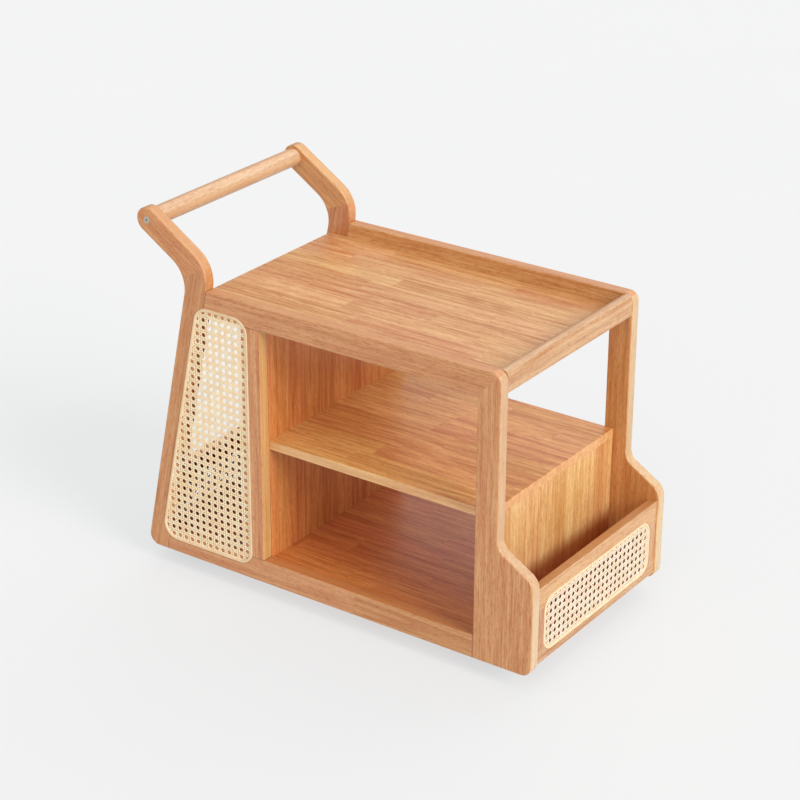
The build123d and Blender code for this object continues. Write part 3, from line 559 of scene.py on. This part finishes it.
def cane_edges(node, origin, across, up):
    """The sheet's edges as (a point, the way out), moved out to the middle of the reed."""
    flat = []
    for vertex in solids[node].data.vertices:
        off = vertex.co - origin
        flat.append((round(off.dot(across), 6), round(off.dot(up), 6)))
    ring = convex_outline(flat)
    edges = []
    for here, there in zip(ring, ring[1:] + ring[:1]):
        run = (there - here).normalized()
        out = Vector((run.y, -run.x))
        edges.append((here + out * TUCK, out))
    return edges


def cut_to(edges, start, run):
    """How far along a line the inside of the outline starts and ends."""
    low, high = -10.0, 10.0
    for point, out in edges:
        speed = run.dot(out)
        room = (point - start).dot(out)
        if abs(speed) < 1e-9:
            if room < 0:
                return None
        elif speed > 0:
            high = min(high, room / speed)
        else:
            low = max(low, room / speed)
    return (low, high) if high - low > STRAND_WIDTH else None


side_outline = cane_edges("right_cane", Vector((0, 0, 0)), Vector(X_AXIS), Vector(Z_AXIS))
print("mesh of the cane:", round(PITCH * 1000, 1), "mm; edges of a side panel:", len(side_outline))

# %% [markdown]
# A strand is a flat strip with a slightly narrower top. Its height follows the weave: a list of
# (place in the mesh, height) pairs that repeats once per mesh. For the pairs, one strand goes
# over the first level strand and under the second, and its partner does the opposite. Slanting
# strands of one direction pass over the upright pairs and under the level ones, and those of
# the other direction do the reverse, so where two slants cross they lie above and below.

# %% Strands
# The section in shares of width and thickness, with a slightly narrower top
SECTION = ((-0.5, -0.5), (0.5, -0.5), (0.36, 0.5), (-0.36, 0.5))
SHORTEST_STEP = 0.0004  # no bend lies closer to a cut end than this
# This far from a crossing, a strand of a pair keeps only this share of its height
EASE, EASE_HEIGHT = 0.0022, 0.2


def strand(verts, faces, start, run, span, period, heights, width, place):
    """Add one strip. heights are (position within one period, height), both repeated."""
    low, high = span
    first = math.floor(low / period) - 1
    last = math.ceil(high / period) + 1
    knots = []
    for turn in range(first, last):
        knots += [(turn * period + at, height) for at, height in heights]
    knots.sort()

    def height_at(t):
        for (t0, h0), (t1, h1) in zip(knots, knots[1:]):
            if t0 <= t <= t1:
                return h0 + (h1 - h0) * (t - t0) / (t1 - t0)
        return 0.0

    inner = [(t, h) for t, h in knots if low + SHORTEST_STEP < t < high - SHORTEST_STEP]
    path = [(low, height_at(low))] + inner + [(high, height_at(high))]
    side = Vector((-run.y, run.x))
    base = len(verts)
    for t, h in path:
        middle = start + run * t
        for wide, thick in SECTION:
            flat = middle + side * (wide * width)
            verts.append(place(flat, h + thick * STRAND_THICK))
    for step in range(len(path) - 1):
        a = base + 4 * step
        for k in range(4):
            n = (k + 1) % 4
            faces.append((a + k, a + n, a + 4 + n, a + 4 + k))
    faces.append((base + 3, base + 2, base + 1, base))
    end = base + 4 * (len(path) - 1)
    faces.append((end, end + 1, end + 2, end + 3))


half_mesh = PITCH / 2
pair_wave = [
    (half_mesh - PAIR_HALF, 1),
    (half_mesh, 0),
    (half_mesh + PAIR_HALF, -1),
    (half_mesh + PAIR_HALF + EASE, -EASE_HEIGHT),
    (PITCH, 0),
    (PITCH + half_mesh - PAIR_HALF - EASE, EASE_HEIGHT),
]
slant_wave = []
for middle, sign in ((half_mesh, 1), (PITCH, -1)):
    slant_wave += [(middle + shift, sign) for shift in (-PAIR_HALF, 0.0, PAIR_HALF)]
print("heights per mesh:", len(pair_wave), "on a pair's strand,", len(slant_wave), "on a slanting one")

# %% [markdown]
# One panel is then three sweeps over the hole grid: uprights, levels and the two slants. The
# grid is set by the middle of one hole, which on the near frame and the front pocket lies
# where the photograph shows it. It is given across and up from the table's middle at the
# floor, or on the leaning rear panel from the panel's own foot. The finished weave takes the
# place of the plain sheet, which stays for the physics.

# %% Weave one panel
SWEEP = 60  # meshes on either side of the given hole, more than any panel has
DIAGONAL = math.sqrt(2)


def weave(node, origin, across, up, hole, cane_finish):
    """Replace the plain sheet with strands; hole is the middle of one hole, across and up."""
    out = across.cross(up)
    sheet = solids[node].data.vertices
    centre = sum(v.co.dot(out) for v in sheet) / len(sheet)
    depth = centre - origin.dot(out)
    edges = cane_edges(node, origin, across, up)
    verts, faces = [], []

    def place(flat, height):
        return origin + across * flat.x + up * flat.y + out * (depth + height)

    hole = Vector(hole)
    upright, level = Vector((0, 1)), Vector((1, 0))
    for n in range(-SWEEP, SWEEP + 1):
        for sign in (-1, 1):
            shift = half_mesh + n * PITCH + sign * PAIR_HALF
            wave = [(at, -sign * h * RISE) for at, h in pair_wave]
            for start, run in ((hole + level * shift, upright), (hole + upright * shift, level)):
                span = cut_to(edges, start, run)
                heights = wave if run is upright else [(at, -h) for at, h in wave]
                if span:
                    strand(verts, faces, start, run, span, PITCH, heights, STRAND_WIDTH, place)
        for lean in (1, -1):
            start = hole + level * (half_mesh + n * PITCH)
            run = Vector((1, lean)).normalized()
            span = cut_to(edges, start, run)
            heights = [((at - half_mesh) * DIAGONAL, lean * h * SLANT_RISE) for at, h in slant_wave]
            if span:
                strand(verts, faces, start, run, span, PITCH * DIAGONAL, heights, SLANT_WIDTH, place)
    mesh = bpy.data.meshes.new(node + "_weave")
    mesh.from_pydata(verts, [], faces)
    mesh.shade_smooth()
    mesh.materials.append(cane_finish)
    piece = bpy.data.objects.new(node + "_weave", mesh)
    bpy.context.scene.collection.objects.link(piece)
    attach(piece, "cart")
    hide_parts(node)
    print(f"{piece.name}: {len(faces)} faces")


toward_front, toward_left, upward = Vector(X_AXIS), Vector(Y_AXIS), Vector(Z_AXIS)
table_middle = Vector((0, 0, 0))
side_x, side_z = -0.1645, 0.0731
weave("right_cane", table_middle, toward_front, upward, (side_x, side_z), side_cane)
weave("left_cane", table_middle, -toward_front, upward, (-side_x, side_z), side_cane)
weave("front_panel_cane", table_middle, toward_left, upward, (-0.1365, 0.0645), front_cane)
rear_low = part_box("rear_panel_cane")[0]
rear_origin = Vector((rear_low.x, 0, rear_low.z))
weave("rear_panel_cane", rear_origin, -toward_left, Vector(lean_along), (0.0095, 0.0095), rear_cane)

# %% [markdown]
# ## Metal, plastic and rubber
#
# The handle's bolts are bright zinc with a dark hex socket. The casters are hidden behind the
# frames in the photograph, so they are the usual kind: pressed steel forks, a dark plastic
# wheel and a rubber tyre. A fine noise in the roughness keeps the metal from looking like glass.

# %% Finishes of the small parts
def plain(name, colour, metal, rough, grain_scale, grain_depth):
    """An even finish with a fine grain: waves per metre, and the depth in metres."""
    material = bpy.data.materials.new(name)
    material.use_nodes = True
    tree = material.node_tree
    shader = tree.nodes["Principled BSDF"]
    position = put(tree, "ShaderNodeTexCoord").outputs["Object"]
    settings = {"Vector": position, "Scale": grain_scale, "Detail": 4.0}
    noise = put(tree, "ShaderNodeTexNoise", settings).outputs[0]
    darker = tuple(c * 0.75 for c in colour[:3]) + (1.0,)
    mottled = blend_colour(tree, spread(tree, noise, 0.35, 0.65), colour, darker)
    tree.links.new(mottled, shader.inputs["Base Color"])
    tree.links.new(spread(tree, noise, 0.3, 0.7, rough - 0.06, rough + 0.1), shader.inputs["Roughness"])
    bump = put(tree, "ShaderNodeBump", {"Height": noise, "Strength": 0.3, "Distance": grain_depth})
    tree.links.new(bump.outputs[0], shader.inputs["Normal"])
    shader.inputs["Metallic"].default_value = metal
    return material


zinc = plain("zinc_steel", linear(196, 194, 184), 1.0, 0.28, 900.0, 0.00005)
brass = plain("brass_insert", linear(212, 178, 104), 1.0, 0.3, 900.0, 0.00005)
wheel_plastic = plain("dark_plastic", linear(52, 52, 54), 0.0, 0.42, 1500.0, 0.00008)
tyre_rubber = plain("tyre_rubber", linear(38, 38, 40), 0.0, 0.62, 2200.0, 0.00012)
small_parts = {
    zinc: ["handle_bolts", "cleat_screws", "caster_screws", "caster_plates", "caster_rivets", "caster_balls"],
    brass: ["handle_inserts"],
    wheel_plastic: [],
    tyre_rubber: [],
}
for corner in ("front_right", "front_left", "rear_right", "rear_left"):
    small_parts[zinc] += ["caster_fork_" + corner, "caster_axle_" + corner]
    small_parts[wheel_plastic].append("caster_wheel_" + corner)
    small_parts[tyre_rubber].append("caster_tyre_" + corner)
for material, nodes in small_parts.items():
    for node in nodes:
        finish(node, material)
bare = [name for name, solid in solids.items() if not any(m and m.use_nodes for m in solid.data.materials)]
print("solids without a finish:", bare)

# %% [markdown]
# ## The studio
#
# The photograph is a product shot on white. The floor runs out of the picture on every side
# and is nearly pure white, as a lit table of milky glass would be: a soft shadow lies on it,
# but it never gets dark. So the floor is a sheet of paper that glows a little by itself and
# reflects the rest. The glow is faintly blue and the paper faintly cream: together they are
# white where the light is full, and the shade stays grey although the wood throws brown light
# back on it.

# %% Floor
FLOOR_REACH = 30.0
PAPER = (0.264, 0.227, 0.215, 1.0), (0.276, 0.237, 0.225, 1.0)
GLOW, GLOW_STRENGTH = (0.901, 0.976, 1.0, 1.0), 0.634


def make_floor():
    mesh = bpy.data.meshes.new("studio_floor")
    signs = ((-1, -1), (1, -1), (1, 1), (-1, 1))
    mesh.from_pydata([(x * FLOOR_REACH, y * FLOOR_REACH, 0) for x, y in signs], [], [(0, 1, 2, 3)])
    material = bpy.data.materials.new("studio_floor")
    material.use_nodes = True
    tree = material.node_tree
    shader = tree.nodes["Principled BSDF"]
    position = put(tree, "ShaderNodeTexCoord").outputs["Object"]
    noise = put(tree, "ShaderNodeTexNoise", {"Vector": position, "Scale": 2.0}).outputs[0]
    tree.links.new(blend_colour(tree, noise, *PAPER), shader.inputs["Base Color"])
    shader.inputs["Roughness"].default_value = 0.9
    shader.inputs["Specular IOR Level"].default_value = 0.1
    shader.inputs["Emission Color"].default_value = GLOW
    shader.inputs["Emission Strength"].default_value = GLOW_STRENGTH
    mesh.materials.append(material)
    floor = bpy.data.objects.new("studio_floor", mesh)
    bpy.context.scene.collection.objects.link(floor)
    print("floor:", round(floor.dimensions.x), "by", round(floor.dimensions.y), "metres")


make_floor()

# %% [markdown]
# The shadow of the pocket's top rail on the board behind it shows where the main light stood:
# beyond the front pocket, 29 degrees above the floor, and broad enough to blur every shadow.
# A soft light from the near side reaches a little way into the compartments and leaves a
# slanting shade on the divider. A very broad one from the far side lights the handle and the
# tray from behind, and one overhead lifts the level faces. The rest is an even pale surround.

# %% Light
SURROUND, SURROUND_STRENGTH = (1.0, 1.0, 1.0, 1.0), 0.45
scene = bpy.context.scene
scene.view_settings.view_transform = "Standard"
world = bpy.data.worlds.new("studio")
world.use_nodes = True
background = world.node_tree.nodes["Background"]
background.inputs["Color"].default_value = SURROUND
background.inputs["Strength"].default_value = SURROUND_STRENGTH
scene.world = world


def sun(name, bearing, height, strength, width):
    """A far light; its bearing counts from +X towards +Y, all angles in degrees."""
    lamp = bpy.data.lights.new(name, "SUN")
    lamp.energy = strength
    lamp.angle = math.radians(width)
    holder = bpy.data.objects.new(name, lamp)
    around, above = math.radians(bearing), math.radians(height)
    source = Vector((math.cos(around) * math.cos(above), math.sin(around) * math.cos(above), math.sin(above)))
    holder.rotation_euler = (-source).to_track_quat("-Z", "Y").to_euler()
    scene.collection.objects.link(holder)


sun("key", 350, 29, 2.36, 28)
sun("near_fill", 285, 35, 0.47, 30)
sun("far_fill", 90, 35, 0.82, 60)
sun("overhead", 0, 89, 0.47, 60)

# %% [markdown]
# ## The camera
#
# The photograph was taken from above and in front of the near corner with a long lens. The
# view was worked out from the table's straight edges: about 35 degrees round from the side,
# looking down about 25 degrees, from 3.8 metres away.

# %% Camera
CAMERA_PLACE = (1.9036, -2.7268, 1.8417)
AZIMUTH, TILT, ROLL = math.radians(35.002), math.radians(24.724), math.radians(0.251)
FOCAL_PIXELS, PICTURE_PIXELS = 2329.8, 800
SENSOR_WIDTH = 36.0
lens = bpy.data.cameras.new("photo_view")
lens.sensor_width = SENSOR_WIDTH
lens.lens = lens.sensor_width * FOCAL_PIXELS / PICTURE_PIXELS
camera = bpy.data.objects.new("photo_view", lens)
look = Vector((-math.sin(AZIMUTH) * math.cos(TILT), math.cos(AZIMUTH) * math.cos(TILT), -math.sin(TILT)))
camera.location = CAMERA_PLACE
camera.rotation_euler = (look.to_track_quat("-Z", "Y").to_matrix() @ Matrix.Rotation(ROLL, 3, "Z")).to_euler()
scene.collection.objects.link(camera)
scene.camera = camera
print("lens:", round(lens.lens, 2), "mm")
